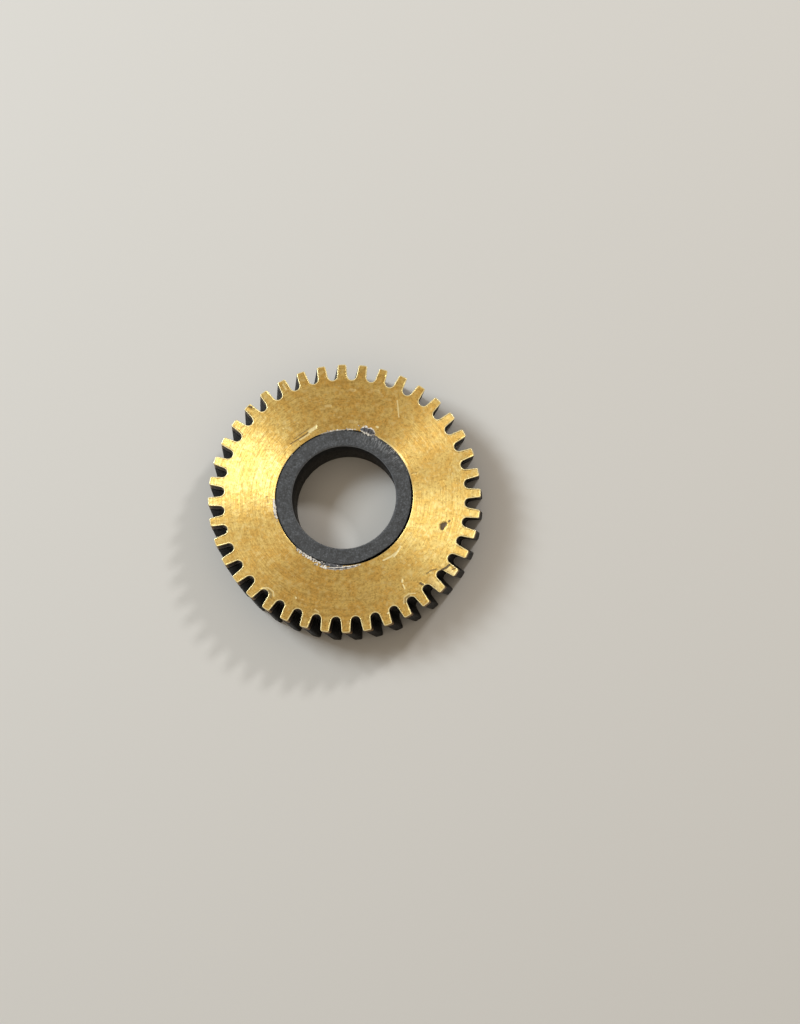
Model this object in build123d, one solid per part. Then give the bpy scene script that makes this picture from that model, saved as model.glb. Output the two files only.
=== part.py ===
from build123d import *
from math import asin, atan2, cos, degrees, radians, sin, sqrt, tan
import os

# A worm wheel of two pieces that share one ring of helical teeth. A moulded black wheel carries
# the lower part of every tooth, and its round boss rises through a brass plate that carries the
# upper part. The plate is pressed over the boss and sits flush with it.
#
# Frame, in millimetres: +Z runs up the bore axis from the moulded underside to the brass face,
# and the origin is the centre of the bore on the underside. A tooth gap lies on +X at Z = 0.

# Teeth
MODULE = 1.0
TOOTH_COUNT = 40
PITCH_RADIUS = MODULE * TOOTH_COUNT / 2
TIP_RADIUS = PITCH_RADIUS + MODULE
ROOT_RADIUS = 18.56
TIP_LAND = 1.30            # width of a tooth across its outer end, before the corners are rounded
TIP_CORNER_RADIUS = 0.28
GAP_ROUND_RADIUS = 0.73    # the bottom of each gap is one full round between two straight tooth sides
HELIX_ANGLE = 8.5          # degrees at the pitch circle; the teeth lean as a left-hand screw

# Layers along the axis
WHEEL_HEIGHT = 6.5         # moulded teeth
PLATE_THICKNESS = 1.5      # brass teeth
TOTAL_HEIGHT = WHEEL_HEIGHT + PLATE_THICKNESS

# Boss and bores
BORE_RADIUS = 8.0
BORE_CHAMFER = 0.15
BOSS_RADIUS = 10.55
BOSS_EDGE_CHAMFER = 0.12   # fine line round the boss at the brass face

TOOTH_PITCH = 360 / TOOTH_COUNT
HALF_TIP_ANGLE = degrees(TIP_LAND / 2 / TIP_RADIUS)


def twist(height):
    """Degrees that a tooth turns over this height, seen from above; a left-hand tooth turns clockwise."""
    return -degrees(height * tan(radians(HELIX_ANGLE)) / PITCH_RADIUS)


def on_circle(radius, angle):
    """Point at this radius and angle in degrees."""
    return (radius * cos(radians(angle)), radius * sin(radians(angle)))


def side_foot():
    """Where a straight tooth side runs into the gap's round: radius, and angle from the tooth's middle."""
    tip = Vector(*on_circle(TIP_RADIUS, HALF_TIP_ANGLE))
    gap_round_centre = Vector(*on_circle(ROOT_RADIUS + GAP_ROUND_RADIUS, TOOTH_PITCH / 2))
    across = gap_round_centre - tip
    direction = atan2(across.Y, across.X) + asin(GAP_ROUND_RADIUS / across.length)
    reach = sqrt(across.length ** 2 - GAP_ROUND_RADIUS ** 2)
    foot = tip + Vector(cos(direction), sin(direction)) * reach
    return foot.length, degrees(atan2(foot.Y, foot.X))


def tooth_outline(turn):
    """Face of the whole toothed outline, with the first tooth half a pitch past the angle turn."""
    foot_radius, foot_angle = side_foot()
    with BuildSketch() as sketch:
        with BuildLine():
            for tooth in range(TOOTH_COUNT):
                centre = turn + (tooth + 0.5) * TOOTH_PITCH
                foot_start = on_circle(foot_radius, centre - foot_angle)
                tip_start = on_circle(TIP_RADIUS, centre - HALF_TIP_ANGLE)
                tip_end = on_circle(TIP_RADIUS, centre + HALF_TIP_ANGLE)
                foot_end = on_circle(foot_radius, centre + foot_angle)
                gap_middle = on_circle(ROOT_RADIUS, centre + TOOTH_PITCH / 2)
                next_foot = on_circle(foot_radius, centre + TOOTH_PITCH - foot_angle)
                Line(foot_start, tip_start)
                ThreePointArc(tip_start, on_circle(TIP_RADIUS, centre), tip_end)
                Line(tip_end, foot_end)
                ThreePointArc(foot_end, gap_middle, next_foot)
        make_face()
        tip_corners = [v for v in sketch.vertices() if Vector(v.X, v.Y).length > PITCH_RADIUS]
        fillet(tip_corners, TIP_CORNER_RADIUS)
    return sketch.sketch.face()


def toothed_disc(bottom, height):
    """Solid disc with helical teeth that line up with every other disc on the same axis."""
    outline = tooth_outline(twist(bottom))
    disc = Solid.extrude_linear_with_rotation(outline, (0, 0, 0), (0, 0, height), twist(height))
    return Pos(0, 0, bottom) * disc


def upright_cylinder(radius, bottom, height):
    """Cylinder on the bore axis that stands on the height bottom."""
    return Pos(0, 0, bottom) * Cylinder(radius, height, align=(Align.CENTER, Align.CENTER, Align.MIN))


def circles_at(solid, radius, height):
    """The round edges of this radius at this height."""
    return [
        edge
        for edge in solid.edges().filter_by(GeomType.CIRCLE)
        if abs(edge.radius - radius) < 0.001 and abs(edge.center().Z - height) < 0.001
    ]


def moulded_wheel():
    """Black toothed wheel with its boss and through bore."""
    wheel = toothed_disc(0, WHEEL_HEIGHT)
    wheel = wheel + upright_cylinder(BOSS_RADIUS, 0, TOTAL_HEIGHT)
    wheel = wheel - upright_cylinder(BORE_RADIUS, 0, TOTAL_HEIGHT)
    bore_ends = circles_at(wheel, BORE_RADIUS, 0) + circles_at(wheel, BORE_RADIUS, TOTAL_HEIGHT)
    wheel = chamfer(bore_ends, BORE_CHAMFER)
    return chamfer(circles_at(wheel, BOSS_RADIUS, TOTAL_HEIGHT), BOSS_EDGE_CHAMFER)


def brass_plate():
    """Toothed brass plate whose plain bore is filled by the boss."""
    plate = toothed_disc(WHEEL_HEIGHT, PLATE_THICKNESS)
    return plate - upright_cylinder(BOSS_RADIUS, WHEEL_HEIGHT, PLATE_THICKNESS)


os.makedirs("parts", exist_ok=True)
export_step(moulded_wheel(), "parts/moulded_wheel.step")
export_step(brass_plate(), "parts/brass_plate.step")
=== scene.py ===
from math import asin, atan2, cos, degrees, exp, pi, radians, sin, sqrt, tan
from random import Random

import bmesh
import bpy
from mathutils import Matrix, Vector, noise


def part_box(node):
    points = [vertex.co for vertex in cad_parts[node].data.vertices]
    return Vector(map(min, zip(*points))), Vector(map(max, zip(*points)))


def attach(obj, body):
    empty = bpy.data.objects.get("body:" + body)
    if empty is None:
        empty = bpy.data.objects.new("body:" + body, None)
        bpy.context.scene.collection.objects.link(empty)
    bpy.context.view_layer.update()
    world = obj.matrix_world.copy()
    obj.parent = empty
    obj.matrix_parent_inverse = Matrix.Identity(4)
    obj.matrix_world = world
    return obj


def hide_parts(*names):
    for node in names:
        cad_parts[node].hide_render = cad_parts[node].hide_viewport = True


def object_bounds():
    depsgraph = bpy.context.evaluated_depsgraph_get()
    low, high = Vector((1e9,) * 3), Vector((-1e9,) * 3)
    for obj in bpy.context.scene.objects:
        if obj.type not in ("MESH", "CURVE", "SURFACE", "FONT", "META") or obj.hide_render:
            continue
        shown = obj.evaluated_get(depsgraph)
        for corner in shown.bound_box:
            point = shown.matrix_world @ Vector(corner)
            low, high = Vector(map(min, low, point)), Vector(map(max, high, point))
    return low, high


# Looks of a worm wheel: a turned brass plate with teeth, pressed over the boss of a black plastic
# wheel that carries the lower part of the same teeth. Sizes here are in millimetres, the frame is
# in metres, and MM turns one into the other when a mesh is made. A heading is an angle in degrees
# round the bore axis, counted from +X towards +Y.

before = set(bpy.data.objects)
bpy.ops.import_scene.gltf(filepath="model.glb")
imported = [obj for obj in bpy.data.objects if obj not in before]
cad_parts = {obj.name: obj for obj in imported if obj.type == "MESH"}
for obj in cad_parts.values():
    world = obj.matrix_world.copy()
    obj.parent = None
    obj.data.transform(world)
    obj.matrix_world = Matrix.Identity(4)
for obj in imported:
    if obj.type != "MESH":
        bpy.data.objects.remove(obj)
cad_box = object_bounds()

MM = 0.001


# ---------------------------------------------------------------- sizes

def reach_of(node):
    """Smallest and largest distance of a CAD node from the bore axis, in millimetres."""
    distances = [vertex.co.xy.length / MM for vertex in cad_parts[node].data.vertices]
    return min(distances), max(distances)


BOSS_RADIUS, TIP_RADIUS = reach_of("brass_plate")
BORE_RADIUS = reach_of("moulded_wheel")[0]
FACE_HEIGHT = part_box("brass_plate")[1].z / MM
SEAM_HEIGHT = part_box("brass_plate")[0].z / MM

# Teeth
MODULE = 1.0
TOOTH_COUNT = 40
TOOTH_PITCH = 360 / TOOTH_COUNT
PITCH_RADIUS = TIP_RADIUS - MODULE
GAP_DEPTH = 2.44
ROOT_RADIUS = TIP_RADIUS - GAP_DEPTH
TIP_LAND = 1.30            # width of a tooth across its outer end, before the corners are rounded
TIP_CORNER_RADIUS = 0.28
GAP_ROUND_RADIUS = 0.73    # the bottom of each gap is one full round between two straight tooth sides
HELIX_ANGLE = 8.5          # degrees at the pitch circle; the teeth lean as a left-hand screw
TURN_PER_MM = -tan(radians(HELIX_ANGLE)) / PITCH_RADIUS    # radians

# Steps along half a tooth
TIP_STEPS = 2
CORNER_STEPS = 4
SIDE_STEPS = 3
GAP_STEPS = 6

BORE_CHAMFER = 0.15
BORE_MOUTH_RADIUS = BORE_RADIUS + BORE_CHAMFER
PLATE_BORE_RADIUS = BOSS_RADIUS + 0.06   # the plate's hole is a little open round the boss
FACE_INNER_RADIUS = 18.1                 # the flat faces are round inside this, tooth-shaped outside


# ---------------------------------------------------------------- outlines and loops

def polar(radius, heading):
    """Flat point at this radius and heading."""
    return Vector((radius * cos(radians(heading)), radius * sin(radians(heading))))


def spread(first, last, steps):
    """Evenly spaced numbers from first to last, both included."""
    return [first + (last - first) * step / steps for step in range(steps + 1)]


def arc_points(centre, radius, start, end, steps):
    """Points after the first one on an arc between two angles in radians."""
    return [centre + radius * Vector((cos(a), sin(a))) for a in spread(start, end, steps)[1:]]


def half_tooth():
    """Outline from the middle of a tip on +X to the middle of the next gap."""
    tip = polar(TIP_RADIUS, degrees(TIP_LAND / 2 / TIP_RADIUS))
    gap_centre = polar(ROOT_RADIUS + GAP_ROUND_RADIUS, TOOTH_PITCH / 2)
    across = gap_centre - tip
    direction = atan2(across.y, across.x) + asin(GAP_ROUND_RADIUS / across.length)
    along = Vector((cos(direction), sin(direction)))
    out = Vector((along.y, -along.x))
    out_angle = atan2(out.y, out.x)

    # the corner's round touches the tooth side, and the tip circle from inside
    inside_side = tip - out * TIP_CORNER_RADIUS
    reach = inside_side.dot(along)
    excess = inside_side.length_squared - (TIP_RADIUS - TIP_CORNER_RADIUS) ** 2
    corner = inside_side + along * (-reach - sqrt(reach ** 2 - excess))
    corner_angle = atan2(corner.y, corner.x)
    side_start = corner + out * TIP_CORNER_RADIUS
    side_end = gap_centre - out * GAP_ROUND_RADIUS

    points = [Vector((TIP_RADIUS, 0))]
    points += arc_points(Vector((0, 0)), TIP_RADIUS, 0, corner_angle, TIP_STEPS)
    points += arc_points(corner, TIP_CORNER_RADIUS, corner_angle, out_angle, CORNER_STEPS)
    points += [side_start.lerp(side_end, share) for share in spread(0, 1, SIDE_STEPS)[1:]]
    gap_end = radians(TOOTH_PITCH / 2) - pi
    points += arc_points(gap_centre, GAP_ROUND_RADIUS, out_angle - pi, gap_end, GAP_STEPS)
    return points


def whole_outline():
    """Closed outline of every tooth, with a gap on +X, and the outward direction at each point."""
    half = half_tooth()
    mirrored = [Vector((p.x, -p.y)) for p in reversed(half)]
    tooth = mirrored + half[1:-1]
    points = []
    for index in range(TOOTH_COUNT):
        turn = Matrix.Rotation(radians((index + 0.5) * TOOTH_PITCH), 2)
        points += [turn @ p for p in tooth]
    count = len(points)
    outward = []
    for index in range(count):
        tangent = points[(index + 1) % count] - points[index - 1]
        outward.append(Vector((tangent.y, -tangent.x)).normalized())
    return points, outward


OUTLINE, OUTWARD = whole_outline()
AROUND = len(OUTLINE)    # every loop has this many points

EVENNESS = 0.65          # how far a round loop's points are evened out from the outline's own spacing


def circle_angles():
    """Angles in radians for round loops that follow the outline's points but spread out more evenly."""
    angles = []
    for index, point in enumerate(OUTLINE):
        even = 2 * pi * index / AROUND
        own = atan2(point.y, point.x) % (2 * pi)
        if own - even > pi:
            own -= 2 * pi
        angles.append((1 - EVENNESS) * own + EVENNESS * even)
    return angles


CIRCLE_ANGLES = circle_angles()


def uneven(spot, per_mm, layer):
    """Smooth noise over the flat, from -1 to 1; each layer is a different pattern."""
    return noise.noise(Vector((spot.x * per_mm, spot.y * per_mm, layer)))


def tooth_loop(inset, height, ragged=0.0, lift=0.0):
    """Loop of tooth outline drawn in by inset; ragged and lift make its edge wander in and up."""
    turn = Matrix.Rotation(TURN_PER_MM * height, 2)
    loop = []
    for point, out in zip(OUTLINE, OUTWARD):
        flat = turn @ (point - out * (inset + ragged * uneven(point, 2.3, 1.0)))
        rise = lift * uneven(point, 1.7, 5.0)
        loop.append(Vector((flat.x, flat.y, height + rise)))
    return loop


def round_loop(radius, height):
    """Round loop; radius may be a number or a function of the heading."""
    loop = []
    for angle in CIRCLE_ANGLES:
        turned = angle + TURN_PER_MM * height
        reach = radius(degrees(turned) % 360) if callable(radius) else radius
        loop.append(Vector((reach * cos(turned), reach * sin(turned), height)))
    return loop


def blend_loops(first, second, share):
    """Loop part of the way from the first loop to the second."""
    return [a.lerp(b, share) for a, b in zip(first, second)]


def add_piece(name, mesh):
    """New object for this mesh, in the scene."""
    piece = bpy.data.objects.new(name, mesh)
    bpy.context.scene.collection.objects.link(piece)
    return piece


def skin(name, bands, relief):
    """Closed ring-shaped mesh over loops.

    Each band is (loop, material index of the faces up to the next loop, shine of the loop). Shine
    runs from -1 for the darkest drawn marks to 1 for burnished metal drawn pale, partly as painted
    highlight. Where a loop has material 0, relief adds a height and a shine of its own at every
    point.
    """
    points = []
    shines = []
    for loop, slot, loop_shine in bands:
        for point in loop:
            rise, shine = relief(point) if slot == 0 else (0.0, 0.0)
            points.append((point.x * MM, point.y * MM, (point.z + rise) * MM))
            shines.append(max(-1.0, min(1.0, loop_shine + shine)))
    faces = []
    slots = []
    for row, (_, slot, _) in enumerate(bands):
        next_row = (row + 1) % len(bands)
        for index in range(AROUND):
            after = (index + 1) % AROUND
            faces.append((
                row * AROUND + index,
                next_row * AROUND + index,
                next_row * AROUND + after,
                row * AROUND + after,
            ))
            slots.append(slot)
    mesh = bpy.data.meshes.new(name)
    mesh.from_pydata(points, [], faces)
    mesh.polygons.foreach_set("material_index", slots)
    mesh.attributes.new("shine", "FLOAT", "POINT").data.foreach_set("value", shines)
    mesh.shade_smooth()
    mesh.validate()
    return add_piece(name, mesh)


# ---------------------------------------------------------------- wear on the brass face

class Mark:
    """A scratch, nick or pit along an open path of (radius, heading) points on the face."""

    LIP_PLACE = 1.5        # the lip's crest is this many half widths from the path
    LIP_SHARPNESS = 2.5
    LIP_SHARE = 0.25       # height of the lip as a share of the groove's depth

    def __init__(self, path, half_width, depth, shine):
        self.path = [polar(radius, heading) for radius, heading in path]
        self.half_width = half_width
        self.depth = depth
        self.shine = shine
        margin = Vector((half_width, half_width)) * 2.5
        self.low = Vector((min(p.x for p in self.path), min(p.y for p in self.path))) - margin
        self.high = Vector((max(p.x for p in self.path), max(p.y for p in self.path))) + margin

    def effect(self, spot):
        """Height and shine that the mark gives this spot: a groove with a low lip beside it."""
        if not (self.low.x < spot.x < self.high.x and self.low.y < spot.y < self.high.y):
            return 0.0, 0.0
        nearest = min(
            self.distance(spot, start, end) for start, end in zip(self.path, self.path[1:])
        )
        away = nearest / self.half_width
        groove = exp(-away ** 4)
        lip = exp(-((away - self.LIP_PLACE) * self.LIP_SHARPNESS) ** 2)
        return self.depth * (self.LIP_SHARE * lip - groove), self.shine * groove

    @staticmethod
    def distance(spot, start, end):
        """Distance from the spot to the straight line between start and end."""
        along = end - start
        share = (spot - start).dot(along) / along.length_squared
        return (spot - start - along * max(0.0, min(1.0, share))).length


# Each mark: its path, then half its width, its depth and its shine
NAMED_MARKS = (
    # deep pit with a small one beside it
    Mark(((15.8, 343), (16.1, 344)), 0.42, 0.04, -1.0),
    Mark(((15.9, 341.5), (16.0, 344)), 0.34, 0.03, -1.0),
    Mark(((16.6, 346), (16.7, 346.5)), 0.15, 0.03, -0.8),
    # long scratches that follow the boss
    Mark(((11.9, 112.5), (11.7, 117.5)), 0.28, 0.02, 1.0),
    Mark(((12.1, 111), (12.0, 112)), 0.17, 0.02, 1.0),
    Mark(((11.7, 118.5), (11.6, 122), (11.9, 134.5)), 0.08, 0.02, -0.9),
    Mark(((12.2, 117), (12.1, 130)), 0.07, 0.01, -0.7),
    Mark(((11.4, 119), (11.4, 127)), 0.15, 0.02, 0.8),
    Mark(((11.6, 301.5), (11.8, 307.5), (11.9, 314)), 0.14, 0.02, 1.0),
    Mark(((12.1, 309.5), (11.9, 313.5), (11.7, 318)), 0.15, 0.02, 1.0),
    Mark(((11.9, 179), (11.7, 184)), 0.12, 0.02, -0.35),
    Mark(((11.0, 19), (11.8, 18)), 0.09, 0.01, -0.4),
    # slips of a tool across the face
    Mark(((17.2, 61.5), (15.1, 56)), 0.11, 0.01, 0.7),
    Mark(((17.5, 316.5), (17.7, 319.5), (18.2, 321.5)), 0.10, 0.03, -0.7),
    Mark(((18.9, 322.5), (19.2, 324.5), (19.4, 326.5)), 0.20, 0.05, -0.95),
    Mark(((20.2, 325.5), (20.4, 326.5)), 0.12, 0.03, -0.8),
    Mark(((17.9, 311), (18.3, 311.5)), 0.18, 0.05, -0.9),
    Mark(((16.0, 304), (15.8, 304.5)), 0.15, 0.02, 1.0),
    Mark(((16.4, 303.5), (17.1, 303)), 0.11, 0.02, 0.9),
    # two teeth drawn paler beyond the long slip
    Mark(((18.6, 316), (20.6, 314.5)), 0.55, 0.01, 0.25),
    Mark(((19.8, 324), (20.7, 324)), 0.55, 0.01, 0.45),
    # small dents and bright spots
    Mark(((12.1, 64.5), (12.1, 65.5)), 0.16, 0.03, 1.0),
    Mark(((20.7, 135.5), (20.4, 135)), 0.16, 0.05, -1.0),
    Mark(((20.3, 118), (19.4, 118)), 0.16, 0.015, 0.6),
    Mark(((17.1, 244.5), (17.2, 245)), 0.12, 0.03, 1.0),
    Mark(((18.6, 40), (18.8, 39.5)), 0.12, 0.02, 0.9),
    Mark(((14.7, 101.5), (14.6, 98.5)), 0.22, 0.02, 0.4),
    Mark(((17.0, 86.5), (16.9, 85)), 0.28, 0.02, 0.35),
    Mark(((17.0, 77), (17.6, 73)), 0.20, 0.02, 0.2),
    Mark(((17.6, 73), (16.9, 69.5)), 0.20, 0.02, 0.25),
    Mark(((12.0, 85.5), (11.9, 81)), 0.30, 0.02, 0.3),
    Mark(((18.2, 258), (17.9, 256)), 0.12, 0.02, 0.6),
    Mark(((19.3, 290.5), (19.3, 291)), 0.16, 0.02, 1.0),
    # dull halos with pale rims round two gaps
    Mark(((18.4, 231.5), (18.5, 233), (19.0, 234)), 0.20, 0.02, -0.60),
    Mark(((18.6, 228.5), (18.1, 230.5), (18.1, 233.5), (18.6, 235)), 0.12, 0.01, 0.80),
    Mark(((18.9, 300), (18.4, 301), (18.4, 303)), 0.18, 0.02, -0.60),
    Mark(((19.0, 299), (18.2, 300.5), (18.1, 303.5), (18.6, 306)), 0.12, 0.01, 0.70),
)

HANDLING_MARK_COUNT = 110
HANDLING_MARK_DEPTH = 0.008


def handling_marks():
    """Faint short scratches from handling, spread over the whole face."""
    dice = Random(12)
    marks = []
    for _ in range(HANDLING_MARK_COUNT):
        radius = dice.uniform(11.2, 18.0)
        heading = dice.uniform(0, 360)
        length = dice.uniform(0.1, 0.7)
        slant = dice.uniform(-0.5, 0.5)
        shine = dice.choice((0.35, 0.25, -0.2))
        half_width = dice.uniform(0.07, 0.13)
        end = (radius + length * slant, heading + degrees(length / radius))
        marks.append(Mark(((radius, heading), end), half_width, HANDLING_MARK_DEPTH, shine))
    return marks


HANDLING_MARKS = handling_marks()


def near(heading, middle, reach):
    """Smooth bump of height 1 at the heading middle, gone a little beyond reach degrees each side."""
    away = (heading - middle + 180) % 360 - 180
    return exp(-(away / reach) ** 4)


def lathe_grooves(spot, wander):
    """Noise drawn out round the bore axis, from -1 to 1; a larger wander makes shorter grooves."""
    radius = spot.length
    way = spot / radius * wander
    return noise.noise(Vector((radius * 3.2, way.x, way.y)))


FACE_ROUGHNESS = 0.004     # height of the face's grooves, and of its waviness
RIM_WIDTH = 0.4            # burr on the rim of the plate's hole, over one stretch of it
RIM_HEIGHT = 0.08


def face_relief(point):
    """Height and shine of the turned face: lathe grooves, waviness, marks and a burred rim.

    The shine of the named marks is left to the material, which draws them sharper than the mesh can.
    """
    spot = point.xy
    rise = FACE_ROUGHNESS * (lathe_grooves(spot, 3.0) + uneven(spot, 1.4, 9.0))
    shine = 0.0
    for mark in NAMED_MARKS:
        rise += mark.effect(spot)[0]
    for mark in HANDLING_MARKS:
        mark_rise, mark_shine = mark.effect(spot)
        rise += mark_rise
        shine += mark_shine
    heading = degrees(atan2(spot.y, spot.x))
    rim = near(heading, 40, 26) * max(0.0, 1 - (spot.length - PLATE_BORE_RADIUS) / RIM_WIDTH)
    return rise + RIM_HEIGHT * rim, shine + rim


# ---------------------------------------------------------------- materials

class Graph:
    """A material's node graph, with short calls for the nodes that this script uses."""

    def __init__(self, name):
        self.material = bpy.data.materials.new(name)
        self.material.use_nodes = True
        self.nodes = self.material.node_tree.nodes
        self.links = self.material.node_tree.links
        self.shader = self.nodes["Principled BSDF"]
        in_metres = self.node("ShaderNodeTexCoord").outputs["Object"]
        self.place = self.scaled(in_metres, 1 / MM)
        x, y, _ = self.split(self.place)
        self.flat = self.join(x, y, 0.0)
        self.radius = self.length(self.flat)
        self.heading = self.vector("NORMALIZE", self.flat)

    def node(self, kind, **settings):
        made = self.nodes.new(kind)
        for key, value in settings.items():
            setattr(made, key, value)
        return made

    def feed(self, socket, value):
        """Link the value into the socket if it comes from a node, and set it otherwise."""
        if isinstance(value, bpy.types.NodeSocket):
            self.links.new(value, socket)
        else:
            socket.default_value = value

    def split(self, vector):
        made = self.node("ShaderNodeSeparateXYZ")
        self.links.new(vector, made.inputs[0])
        return made.outputs

    def join(self, x, y, z):
        made = self.node("ShaderNodeCombineXYZ")
        for socket, value in zip(made.inputs, (x, y, z)):
            self.feed(socket, value)
        return made.outputs[0]

    def math(self, operation, *values, clamp=False):
        made = self.node("ShaderNodeMath", operation=operation, use_clamp=clamp)
        for socket, value in zip(made.inputs, values):
            self.feed(socket, value)
        return made.outputs[0]

    def vector(self, operation, *values):
        made = self.node("ShaderNodeVectorMath", operation=operation)
        for socket, value in zip(made.inputs, values):
            self.feed(socket, value)
        return made.outputs[0]

    def length(self, vector):
        made = self.node("ShaderNodeVectorMath", operation="LENGTH")
        self.links.new(vector, made.inputs[0])
        return made.outputs["Value"]

    def dot(self, first, second):
        made = self.node("ShaderNodeVectorMath", operation="DOT_PRODUCT")
        self.feed(made.inputs[0], first)
        self.feed(made.inputs[1], second)
        return made.outputs["Value"]

    def scaled(self, vector, factor):
        made = self.node("ShaderNodeVectorMath", operation="SCALE")
        self.feed(made.inputs[0], vector)
        self.feed(made.inputs["Scale"], factor)
        return made.outputs[0]

    def attribute(self, name):
        return self.node("ShaderNodeAttribute", attribute_name=name).outputs["Fac"]

    def noise(self, place, scale, detail=2.0, roughness=0.5):
        """Noise from 0 to 1, with its middle at 0.5."""
        made = self.node("ShaderNodeTexNoise")
        self.feed(made.inputs["Vector"], place)
        made.inputs["Scale"].default_value = scale
        made.inputs["Detail"].default_value = detail
        made.inputs["Roughness"].default_value = roughness
        return made.outputs["Fac"]

    def range(self, value, low, high, to_low=0.0, to_high=1.0):
        """Smooth step from to_low, where the value is low, to to_high, where it is high."""
        made = self.node("ShaderNodeMapRange", interpolation_type="SMOOTHSTEP")
        for socket, number in zip(made.inputs, (value, low, high, to_low, to_high)):
            self.feed(socket, number)
        return made.outputs[0]

    def mix(self, share, first, second):
        """Colour that is the first at share 0 and the second at share 1."""
        made = self.node("ShaderNodeMix", data_type="RGBA")
        self.feed(made.inputs["Factor"], share)
        self.feed(made.inputs["A"], first)
        self.feed(made.inputs["B"], second)
        return made.outputs["Result"]

    def streaks(self, across, along, seed=0.0):
        """Noise drawn out round the bore axis; across and along are its scales outwards and round."""
        x, y, _ = self.split(self.scaled(self.heading, along))
        outwards = self.math("ADD", self.math("MULTIPLY", self.radius, across), seed)
        return self.noise(self.join(outwards, x, y), 1.0, 3.0, 0.6)

    def drawn(self, marks, sign, wobble):
        """Strongest shine of this sign among the marks; wobble moves their outlines about."""
        strongest = 0.0
        for mark in marks:
            if mark.shine * sign < 0:
                continue
            nearest = None
            for start, end in zip(mark.path, mark.path[1:]):
                length_squared = (end - start).length_squared
                along = (end.x - start.x, end.y - start.y, 0)
                here = self.vector("SUBTRACT", self.flat, (start.x, start.y, 0))
                share = self.math("DIVIDE", self.dot(here, along), length_squared, clamp=True)
                away = self.length(self.vector("SUBTRACT", here, self.scaled(along, share)))
                nearest = away if nearest is None else self.math("MINIMUM", nearest, away)
            edge = self.math("ADD", nearest, self.math("MULTIPLY", wobble, mark.half_width))
            cover = self.range(edge, mark.half_width * 1.15, mark.half_width * 0.7)
            shine = self.math("MULTIPLY", cover, abs(mark.shine))
            strongest = self.math("MAXIMUM", strongest, shine)
        return strongest

    def bump(self, height, depth, normal=None):
        """Bump whose height runs from 0 to 1 over this depth in millimetres, on top of normal."""
        made = self.node("ShaderNodeBump")
        made.inputs["Distance"].default_value = depth * MM
        self.feed(made.inputs["Height"], height)
        if normal is not None:
            self.feed(made.inputs["Normal"], normal)
        return made.outputs[0]

    def set(self, **values):
        """Set the shader's inputs, named with _ for each space, and hand back the material."""
        for key, value in values.items():
            self.feed(self.shader.inputs[key.replace("_", " ")], value)
        return self.material


BRASS_LIGHT = (0.92, 0.70, 0.25, 1)
BRASS_WARM = (0.88, 0.59, 0.17, 1)
BRASS_DULL = (0.47, 0.29, 0.075, 1)
BRASS_FLECK = (1.00, 0.82, 0.38, 1)
BRASS_BARE_AND_GLINT = (1.00, 0.87, 0.48, 1)
BRASS_DARK_MARK = (0.12, 0.08, 0.04, 1)
# painted shade colours for the brass tooth sides
BRASS_SIDE_SHADED = (0.26, 0.15, 0.055, 1)
BRASS_DEEP_SHADE = (0.06, 0.035, 0.02, 1)

# The lathe's grooves are steeper on one flank, so the face's mean slope leans outwards a little
GROOVE_LEAN = 0.028


def turned_brass():
    """Brass faced off on a lathe: fine circular marks, a speckled grain and the wear on it. Burnished
    marks and burr are drawn pale, partly as painted highlight, and the arcs carry some painted shade on
    the -X half.
    """
    g = Graph("turned_brass")
    arcs = g.streaks(3.0, 4.5)
    hair = g.streaks(7.0, 2.5, 31.0)
    grain = g.noise(g.place, 1.9, 3.0, 0.6)
    flecks = g.noise(g.place, 1.7, 2.0, 0.6)
    speckle = g.noise(g.place, 3.4, 2.0, 0.6)
    cloud = g.noise(g.place, 0.8)
    wobble = g.math("SUBTRACT", g.noise(g.place, 4.0), 0.5)
    shine = g.attribute("shine")
    # burnished metal is drawn pale and half diffuse so that it looks bright from every side: real wear
    # with a painted highlight on it
    bare_and_glint = g.math("MAXIMUM", g.range(shine, 0.05, 0.9), g.drawn(NAMED_MARKS, 1, wobble))
    # the dark named marks, drawn dark brown and less metallic
    dark_mark_share = g.drawn(NAMED_MARKS, -1, wobble)

    # the arcs are darkened most over the half of the face towards -X, where the key light comes from:
    # painted shade on real turning grooves
    arc_share = g.range(g.split(g.heading)[0], 0.5, -0.6, 0.20, 0.40)
    tone = g.mix(g.range(cloud, 0.38, 0.62), BRASS_LIGHT, BRASS_WARM)
    tone = g.mix(g.range(grain, 0.44, 0.68, 0.0, 0.45), tone, BRASS_DULL)
    tone = g.mix(g.range(speckle, 0.50, 0.66, 0.0, 0.60), tone, BRASS_DULL)
    tone = g.mix(g.math("MULTIPLY", g.range(arcs, 0.50, 0.66), arc_share), tone, BRASS_DULL)
    tone = g.mix(g.math("MULTIPLY", g.range(hair, 0.50, 0.64), arc_share), tone, BRASS_DULL)
    tone = g.mix(g.range(flecks, 0.54, 0.68, 0.0, 0.55), tone, BRASS_FLECK)
    tone = g.mix(bare_and_glint, tone, BRASS_BARE_AND_GLINT)
    tone = g.mix(dark_mark_share, tone, BRASS_DARK_MARK)

    rough = g.range(g.math("ADD", grain, arcs), 0.7, 1.3, 0.34, 0.46)
    rough = g.math("SUBTRACT", rough, g.math("MULTIPLY", shine, 0.12))
    # half diffuse where burnished, which keeps the painted highlight bright from every side
    metal = g.math("SUBTRACT", 1.0, g.math("MULTIPLY", bare_and_glint, 0.5))
    metal = g.math("SUBTRACT", metal, g.math("MULTIPLY", dark_mark_share, 0.85), clamp=True)
    normal = g.bump(arcs, 0.032)
    normal = g.bump(hair, 0.020, normal)
    normal = g.bump(grain, 0.010, normal)
    normal = g.vector("NORMALIZE", g.vector("ADD", normal, g.scaled(g.heading, GROOVE_LEAN)))
    tangent = g.node("ShaderNodeTangent", direction_type="RADIAL", axis="Z")
    return g.set(
        Base_Color=tone, Metallic=metal, Roughness=rough, Anisotropic=0.8,
        Anisotropic_Rotation=0.25, Tangent=tangent.outputs[0], Normal=normal,
    )


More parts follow.
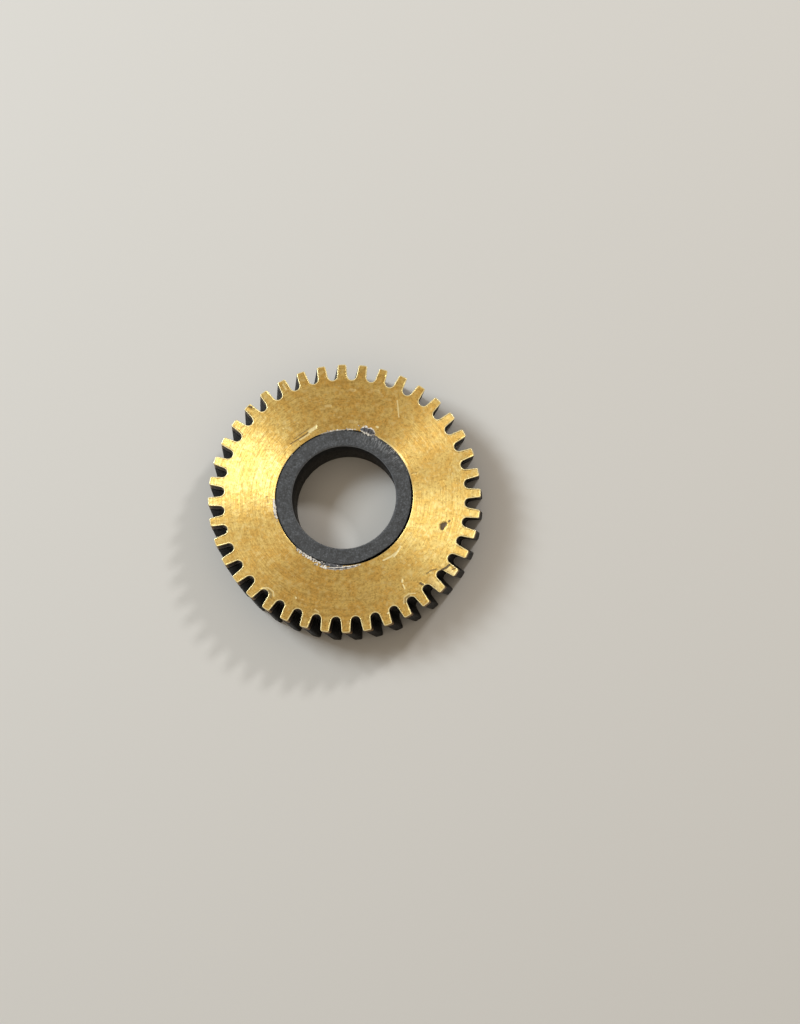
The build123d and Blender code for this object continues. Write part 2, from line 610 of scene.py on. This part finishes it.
def cut_brass():
    """Brass on the tooth sides, coloured dark as painted shade, and darkest down in the gaps."""
    g = Graph("cut_brass")
    grain = g.noise(g.place, 2.5, 3.0, 0.6)
    # painted shade: the sides darken from the tips down into the gaps, and grain blotches darken them
    # towards the same colour
    at_tip = g.range(g.radius, TIP_RADIUS - 0.5, TIP_RADIUS - 0.05)
    tone = g.mix(at_tip, BRASS_DEEP_SHADE, BRASS_SIDE_SHADED)
    tone = g.mix(g.range(grain, 0.5, 0.8, 0.0, 0.6), tone, BRASS_DEEP_SHADE)
    return g.set(
        Base_Color=tone, Metallic=1.0, Roughness=g.range(grain, 0.3, 0.7, 0.38, 0.55),
        Normal=g.bump(g.streaks(14.0, 60.0), 0.01),
    )


PLASTIC_FACED = (0.048, 0.053, 0.061, 1)
PLASTIC_PALE = (0.130, 0.142, 0.165, 1)
PLASTIC_SCUFF_AND_GLINT = (0.330, 0.345, 0.375, 1)
# PLASTIC_BLACK is darker than the plastic itself: it also serves as painted shade on the moulded sides,
# the bore and the boss's outer edge
PLASTIC_BLACK = (0.004, 0.004, 0.0045, 1)
PLASTIC_GREY = (0.010, 0.010, 0.011, 1)
PLASTIC_TORN = (0.10, 0.10, 0.115, 1)
PLASTIC_WHITE = (0.88, 0.85, 0.80, 1)


def faced_plastic():
    """Black plastic turned flat: dull grey with fine pale specks, and scuffs where shine is set."""
    g = Graph("faced_plastic")
    marks = g.streaks(9.0, 5.0)
    specks = g.noise(g.place, 3.6, 3.0, 0.7)
    patches = g.noise(g.place, 1.3, 2.0, 0.6)
    tone = g.mix(g.range(specks, 0.46, 0.66, 0.0, 0.9), PLASTIC_FACED, PLASTIC_PALE)
    tone = g.mix(g.range(patches, 0.4, 0.7, 0.0, 0.5), tone, PLASTIC_GREY)
    tone = g.mix(g.range(marks, 0.6, 0.8, 0.0, 0.3), tone, PLASTIC_PALE)
    scuffs = g.range(g.streaks(1.3, 55.0, 12.0), 0.50, 0.62)
    scuffed = g.math("MULTIPLY", scuffs, g.attribute("shine"), clamp=True)
    tone = g.mix(scuffed, tone, PLASTIC_SCUFF_AND_GLINT)

    # a pale line round the mouth of the bore, a painted highlight on its chamfer; and a dark line round
    # the outside of the boss's end, painted shade along its joint with the plate
    at_mouth = g.range(g.radius, BORE_MOUTH_RADIUS + 0.02, BORE_MOUTH_RADIUS - 0.05, 0.0, 0.35)
    tone = g.mix(at_mouth, tone, PLASTIC_SCUFF_AND_GLINT)
    # painted shade at the joint between the boss and the plate
    at_edge = g.range(g.radius, BOSS_RADIUS - 0.28, BOSS_RADIUS - 0.10, 0.0, 0.7)
    tone = g.mix(at_edge, tone, PLASTIC_BLACK)
    return g.set(
        Base_Color=tone, Roughness=g.range(specks, 0.3, 0.7, 0.55, 0.72),
        Normal=g.bump(specks, 0.012, g.bump(marks, 0.012)),
    )


def moulded_plastic():
    """Black plastic as it leaves the mould and the cutter: smoother than the faced end, and coloured
    far darker, partly its own black and partly painted shade for the sides, gaps and bore.
    """
    g = Graph("moulded_plastic")
    grain = g.noise(g.place, 4.0, 3.0, 0.6)
    lines = g.bump(g.streaks(10.0, 40.0), 0.006)
    return g.set(
        Base_Color=g.mix(g.range(grain, 0.45, 0.75), PLASTIC_BLACK, PLASTIC_GREY),
        Roughness=g.range(grain, 0.3, 0.7, 0.42, 0.6),
        Normal=g.bump(grain, 0.008, lines), Specular_IOR_Level=0.12,
    )


def torn_plastic():
    """Plastic dragged over the brass by the facing cut: grey, and white where it is stressed."""
    g = Graph("torn_plastic")
    stress = g.noise(g.place, 2.0, 2.0, 0.6)
    whitened = g.math("MULTIPLY_ADD", g.attribute("shine"), 0.8, stress)
    tone = g.mix(g.range(whitened, 0.80, 1.05), PLASTIC_TORN, PLASTIC_WHITE)
    tone = g.mix(g.range(whitened, 0.55, 0.40), tone, PLASTIC_FACED)
    return g.set(Base_Color=tone, Roughness=0.55, Normal=g.bump(stress, 0.03))


# ---------------------------------------------------------------- brass plate

FACE, SIDE = 0, 1

FACE_RINGS = 48
PLATE_SIDE_STEPS = 4

# Shares of the way from the round part of the face out to the teeth, closer together near the teeth
TOOTH_SHARES = (0.0, 0.16, 0.32, 0.46, 0.60, 0.73, 0.86, 1.0)

# Burr along the tooth edges of the face, outwards: inset, height over the face, ragged, lift, shine
# The shine column draws the burr pale round every tooth edge: burnished metal with a painted highlight
# for the glint the edges catch.
BURR = (
    (0.16, 0.001, 0.05, 0.0, 0.25),
    (0.11, 0.014, 0.03, 0.010, 0.75),
    (0.05, 0.012, 0.02, 0.010, 1.00),
    (0.012, -0.014, 0.01, 0.008, 0.85),
)


def brass_plate():
    """Toothed plate with burred tooth edges and a marked, turned face."""
    top = FACE_HEIGHT
    low = SEAM_HEIGHT
    # the wall of the hole, which opens a little under the face
    bands = [
        (round_loop(BOSS_RADIUS, top - 0.45), SIDE, 0.0),
        (round_loop(PLATE_BORE_RADIUS, top - 0.40), SIDE, 0.0),
        (round_loop(PLATE_BORE_RADIUS, top - 0.05), SIDE, 0.0),
        (round_loop(PLATE_BORE_RADIUS + 0.04, top - 0.01), FACE, 0.5),
    ]
    # the face, out to the burred edge of the teeth
    for radius in spread(PLATE_BORE_RADIUS + 0.10, FACE_INNER_RADIUS, FACE_RINGS)[:-1]:
        bands.append((round_loop(radius, top), FACE, 0.0))
    inner = round_loop(FACE_INNER_RADIUS, top)
    outer = tooth_loop(0.24, top)
    for share in TOOTH_SHARES:
        bands.append((blend_loops(inner, outer, share), FACE, 0.0))
    for inset, rise, ragged, lift, shine in BURR:
        bands.append((tooth_loop(inset, top + rise, ragged, lift), FACE, shine))
    # the tooth sides, and back along the seam to the hole
    for height in spread(top - 0.06, low + 0.05, PLATE_SIDE_STEPS):
        bands.append((tooth_loop(0.0, height), SIDE, 0.0))
    bands += [
        (tooth_loop(0.02, low + 0.02), SIDE, 0.0),
        (tooth_loop(0.05, low), SIDE, 0.0),
        (round_loop(FACE_INNER_RADIUS, low), SIDE, 0.0),
        (round_loop(BOSS_RADIUS, low), SIDE, 0.0),
    ]
    piece = skin("brass_plate_turned", bands, face_relief)
    piece.data.materials.append(turned_brass())
    piece.data.materials.append(cut_brass())
    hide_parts("brass_plate")
    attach(piece, "root")


# ---------------------------------------------------------------- moulded wheel

FACED, MOULDED = 0, 1

BOSS_RINGS = 15
WHEEL_SIDE_STEPS = 10
UNDERSIDE_RINGS = 16

SCUFF_HEADING = 50         # middle of the scuffed stretch on the boss's end
SCUFF_REACH = 26
SCUFF_INNER_RADIUS = BORE_RADIUS + 0.6


def boss_edge(heading):
    """Radius where the boss's faced end breaks off: well inside the plate's hole over one quarter."""
    ragged = noise.noise(Vector((heading * 0.6, 0.0, 3.0)))
    crescent = 0.16 * near(heading, 330, 48) + 0.10 * near(heading, 298, 14)
    return BOSS_RADIUS - 0.05 - crescent + 0.03 * ragged


def boss_relief(point):
    """Faint turning marks on the faced end of the boss, with one stretch of it scuffed and torn."""
    spot = point.xy
    heading = degrees(atan2(spot.y, spot.x))
    outer = max(0.0, (spot.length - SCUFF_INNER_RADIUS) / (BOSS_RADIUS - SCUFF_INNER_RADIUS))
    scuffed = near(heading, SCUFF_HEADING, SCUFF_REACH) * outer
    grooves = 0.005 * lathe_grooves(spot, 4.0)
    pores = 0.006 * uneven(spot, 3.0, 2.0)
    tears = 0.05 * uneven(spot, 2.2, 7.0)
    return grooves + pores + scuffed * tears, 0.9 * scuffed


def moulded_wheel():
    """Black wheel with its boss, whose end is faced off level with the brass."""
    top = FACE_HEIGHT
    seam = SEAM_HEIGHT
    # the mouth of the bore and the faced end of the boss
    bands = [
        (round_loop(BORE_RADIUS, top - BORE_CHAMFER - 0.04), MOULDED, 0.0),
        (round_loop(BORE_RADIUS + 0.03, top - BORE_CHAMFER), FACED, 0.0),
        (round_loop(BORE_MOUTH_RADIUS - 0.03, top - 0.04), FACED, 0.0),
    ]
    inner = round_loop(BORE_MOUTH_RADIUS + 0.02, top)
    edge = round_loop(lambda heading: boss_edge(heading) - 0.05, top)
    for share in spread(0, 1, BOSS_RINGS):
        bands.append((blend_loops(inner, edge, share), FACED, 0.0))
    # down the boss, and out along the seam to the teeth
    bands += [
        (round_loop(boss_edge, top - 0.03), MOULDED, 0.0),
        (round_loop(lambda heading: boss_edge(heading) + 0.02, top - 0.30), MOULDED, 0.0),
        (round_loop(BOSS_RADIUS, top - 0.46), MOULDED, 0.0),
        (round_loop(BOSS_RADIUS, seam), MOULDED, 0.0),
        (round_loop(FACE_INNER_RADIUS, seam), MOULDED, 0.0),
        (tooth_loop(0.07, seam), MOULDED, 0.0),
        (tooth_loop(0.02, seam - 0.03), MOULDED, 0.0),
    ]
    # the tooth sides, and back along the underside to the bore
    for height in spread(seam - 0.07, 0.10, WHEEL_SIDE_STEPS):
        bands.append((tooth_loop(0.0, height), MOULDED, 0.0))
    bands += [
        (tooth_loop(0.02, 0.04), MOULDED, 0.0),
        (tooth_loop(0.06, 0.01), MOULDED, 0.0),
    ]
    outer = tooth_loop(0.12, 0.0)
    inner = round_loop(FACE_INNER_RADIUS, 0.0)
    for share in (0.0, 0.3, 0.6):
        bands.append((blend_loops(outer, inner, share), MOULDED, 0.0))
    for radius in spread(FACE_INNER_RADIUS, BORE_MOUTH_RADIUS, UNDERSIDE_RINGS):
        bands.append((round_loop(radius, 0.0), MOULDED, 0.0))
    bands.append((round_loop(BORE_RADIUS, BORE_CHAMFER), MOULDED, 0.0))
    piece = skin("moulded_wheel_body", bands, boss_relief)
    piece.data.materials.append(faced_plastic())
    piece.data.materials.append(moulded_plastic())
    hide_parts("moulded_wheel")
    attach(piece, "root")


# ---------------------------------------------------------------- torn plastic round the boss

# Strips: first and last heading, radius at each, half width, thickness, whiteness at the middle
# and at the edges
TORN_STRIPS = (
    (254, 284, 11.35, 10.80, 0.27, 0.20, 0.25, 1.00),
    (248, 270, 10.80, 10.72, 0.28, 0.08, 0.00, 0.10),
    (64, 77, 11.02, 10.98, 0.66, 0.32, -0.10, 1.00),
    (58, 70, 10.52, 10.60, 0.25, 0.12, 0.00, 0.50),
    (14, 63, 10.50, 10.52, 0.13, 0.04, -0.40, -0.20),
    (180, 198, 10.78, 10.85, 0.24, 0.14, 0.60, 1.00),
    (226, 254, 10.62, 10.82, 0.17, 0.08, 0.30, 0.80),
    (84, 112, 10.60, 10.58, 0.09, 0.06, 0.20, 0.80),
)

# Crumbs: first and last heading, smallest and largest radius, how many, and their size
TORN_CRUMBS = (
    (226, 246, 10.60, 10.95, 22, 0.23),
    (246, 258, 10.70, 11.45, 14, 0.22),
    (62, 80, 11.10, 11.65, 14, 0.11),
    (78, 108, 10.58, 10.80, 24, 0.12),
    (180, 200, 10.70, 11.05, 12, 0.15),
    (262, 284, 10.60, 11.00, 8, 0.09),
    (22, 60, 10.45, 10.65, 12, 0.08),
    (128, 175, 10.50, 10.62, 10, 0.06),
)

STRIP_CORNERS = 12
STRIP_STEPS_PER_DEGREE = 3
STRIP_SINK = 0.02          # how deep the strips sit in the boss and the plate
CRUMB_JOLT = 0.25          # how far a crumb's corners are moved, as a share of its size


def torn_strip(shape, whiteness, strip):
    """Ragged strip that tapers to both ends and lies on the joint between boss and plate."""
    first, last, first_radius, last_radius, half_width, thickness, middle_white, edge_white = strip
    steps = (last - first) * STRIP_STEPS_PER_DEGREE
    headings = spread(first, last, steps)
    radii = spread(first_radius, last_radius, steps)
    rows = []
    for step, (heading, radius) in enumerate(zip(headings, radii)):
        swell = max(0.05, sin(pi * step / steps)) ** 0.6
        sway = noise.noise(Vector((heading * 0.35, half_width, 0.0)))
        fray = noise.noise(Vector((heading * 1.1, half_width, 4.0)))
        crest = noise.noise(Vector((heading * 0.9, half_width, 8.0)))
        row = []
        for corner in range(STRIP_CORNERS):
            angle = 2 * pi * corner / STRIP_CORNERS
            reach = radius + half_width * (0.3 * sway + swell * (1 + 0.5 * fray) * cos(angle))
            rise = thickness * swell * (1 + 0.6 * crest) * max(0.0, sin(angle))
            flat = polar(reach, heading)
            place = Vector((flat.x, flat.y, FACE_HEIGHT - STRIP_SINK + rise))
            vertex = shape.verts.new(place * MM)
            vertex[whiteness] = middle_white + (edge_white - middle_white) * abs(cos(angle))
            row.append(vertex)
        rows.append(row)
    for row, after in zip(rows, rows[1:]):
        for corner in range(STRIP_CORNERS):
            beside = (corner + 1) % STRIP_CORNERS
            shape.faces.new((row[corner], row[beside], after[beside], after[corner]))
    shape.faces.new(reversed(rows[0]))
    shape.faces.new(rows[-1])


def crumb(shape, whiteness, dice, place, size):
    """Small jagged crumb of plastic."""
    stretch = Vector((dice.uniform(0.6, 1.5), dice.uniform(0.5, 1.0), dice.uniform(0.4, 0.8)))
    turn = Matrix.Rotation(dice.uniform(0, 2 * pi), 4, "Z")
    shaping = Matrix.Translation(place * MM) @ turn @ Matrix.Diagonal((*(stretch * size * MM), 1))
    made = bmesh.ops.create_icosphere(shape, subdivisions=1, radius=1.0, matrix=shaping)
    white = dice.uniform(0.5, 1.0)
    for vertex in made["verts"]:
        jolt = Vector((dice.uniform(-1, 1), dice.uniform(-1, 1), dice.uniform(-1, 1)))
        vertex.co += jolt * size * CRUMB_JOLT * MM
        vertex[whiteness] = white


def boss_flash():
    """Plastic torn from the boss when its end was faced off, left standing on the brass."""
    dice = Random(5)
    shape = bmesh.new()
    whiteness = shape.verts.layers.float.new("shine")
    for strip in TORN_STRIPS:
        torn_strip(shape, whiteness, strip)
    for first, last, low, high, count, size in TORN_CRUMBS:
        for _ in range(count):
            flat = polar(dice.uniform(low, high), dice.uniform(first, last))
            place = Vector((flat.x, flat.y, FACE_HEIGHT + 0.3 * size))
            crumb(shape, whiteness, dice, place, size * dice.uniform(0.5, 1.2))
    bmesh.ops.recalc_face_normals(shape, faces=shape.faces)
    mesh = bpy.data.meshes.new("boss_flash")
    shape.to_mesh(mesh)
    shape.free()
    piece = add_piece("boss_flash", mesh)
    mesh.materials.append(torn_plastic())
    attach(piece, "root")


# ---------------------------------------------------------------- floor, light and camera

FLOOR_HALF_WIDTH = 3.0     # metres
FLOOR_GAP = 0.02           # between the wheel's underside and the floor
FLOOR_COLOUR = (0.70, 0.70, 0.70, 1)


def floor():
    """Plain pale floor just under the wheel."""
    half = FLOOR_HALF_WIDTH
    low = cad_box[0][2] - FLOOR_GAP * MM
    corners = [(-half, -half, low), (half, -half, low), (half, half, low), (-half, half, low)]
    mesh = bpy.data.meshes.new("floor")
    mesh.from_pydata(corners, [], [(0, 1, 2, 3)])
    mesh.materials.append(Graph("floor_paper").set(Base_Color=FLOOR_COLOUR, Roughness=0.9))
    add_piece("floor", mesh)


def softbox(name, azimuth, elevation, distance, size, power, colour):
    """Square light aimed at the wheel; angles in degrees and lengths in metres."""
    lamp = bpy.data.lights.new(name, "AREA")
    lamp.size = size
    lamp.energy = power
    lamp.color = colour
    light = bpy.data.objects.new(name, lamp)
    away = Vector((
        cos(radians(elevation)) * cos(radians(azimuth)),
        cos(radians(elevation)) * sin(radians(azimuth)),
        sin(radians(elevation)),
    ))
    light.location = away * distance
    light.rotation_euler = away.to_track_quat("Z", "Y").to_euler()
    bpy.context.scene.collection.objects.link(light)


AIR_OVERHEAD = (0.59, 0.495, 0.375, 1)
AIR_AT_HORIZON = (0.06, 0.054, 0.046, 1)
BACKDROP = (0.62, 0.62, 0.61, 1)

# Height of a direction above the horizon, as its sine, where the overhead light starts and is full
OVERHEAD_START = 0.40
OVERHEAD_FULL = 0.85


def studio_air():
    """Warm light from overhead that fades towards the horizon, with a pale backdrop for the camera."""
    world = bpy.data.worlds.new("studio_air")
    world.use_nodes = True
    nodes = world.node_tree.nodes
    links = world.node_tree.links
    split = nodes.new("ShaderNodeSeparateXYZ")
    links.new(nodes.new("ShaderNodeTexCoord").outputs["Generated"], split.inputs[0])
    overhead = nodes.new("ShaderNodeMapRange")
    overhead.interpolation_type = "SMOOTHSTEP"
    overhead.inputs["From Min"].default_value = OVERHEAD_START
    overhead.inputs["From Max"].default_value = OVERHEAD_FULL
    links.new(split.outputs["Z"], overhead.inputs["Value"])
    air = nodes.new("ShaderNodeMix")
    air.data_type = "RGBA"
    links.new(overhead.outputs[0], air.inputs["Factor"])
    air.inputs["A"].default_value = AIR_AT_HORIZON
    air.inputs["B"].default_value = AIR_OVERHEAD
    seen = nodes.new("ShaderNodeMix")
    seen.data_type = "RGBA"
    links.new(nodes.new("ShaderNodeLightPath").outputs["Is Camera Ray"], seen.inputs["Factor"])
    links.new(air.outputs["Result"], seen.inputs["A"])
    seen.inputs["B"].default_value = BACKDROP
    links.new(seen.outputs["Result"], nodes["Background"].inputs["Color"])
    bpy.context.scene.world = world


def studio():
    """Cool window light from the left, a small lamp from the right and warm light all round."""
    softbox(
        "key_light", azimuth=150, elevation=46, distance=0.6, size=0.20, power=2.0,
        colour=(0.93, 1.0, 1.02),
    )
    softbox(
        "fill_light", azimuth=50, elevation=38, distance=0.6, size=0.06, power=0.92,
        colour=(1.0, 0.97, 0.92),
    )
    studio_air()
    bpy.context.scene.view_settings.view_transform = "Standard"


# The camera stands far off, almost straight above, a little to the right and towards the front
CAMERA_PLACE = Vector((34.5, -78.8, 397.7))
CAMERA_AIM = Vector((8.62, -2.42, FACE_HEIGHT))
FOCAL_LENGTH = 91.4
CLIP_START = 0.01          # metres


def camera():
    """Camera that looks at its aim, with +Y up in its picture."""
    data = bpy.data.cameras.new("camera")
    data.lens = FOCAL_LENGTH
    data.clip_start = CLIP_START
    eye = bpy.data.objects.new("camera", data)
    back = (CAMERA_PLACE - CAMERA_AIM).normalized()
    right = Vector((0, 1, 0)).cross(back).normalized()
    up = back.cross(right)
    facing = Matrix((right, up, back)).transposed().to_4x4()
    eye.matrix_world = Matrix.Translation(CAMERA_PLACE * MM) @ facing
    bpy.context.scene.collection.objects.link(eye)
    bpy.context.scene.camera = eye


brass_plate()
moulded_wheel()
boss_flash()
floor()
studio()
camera()
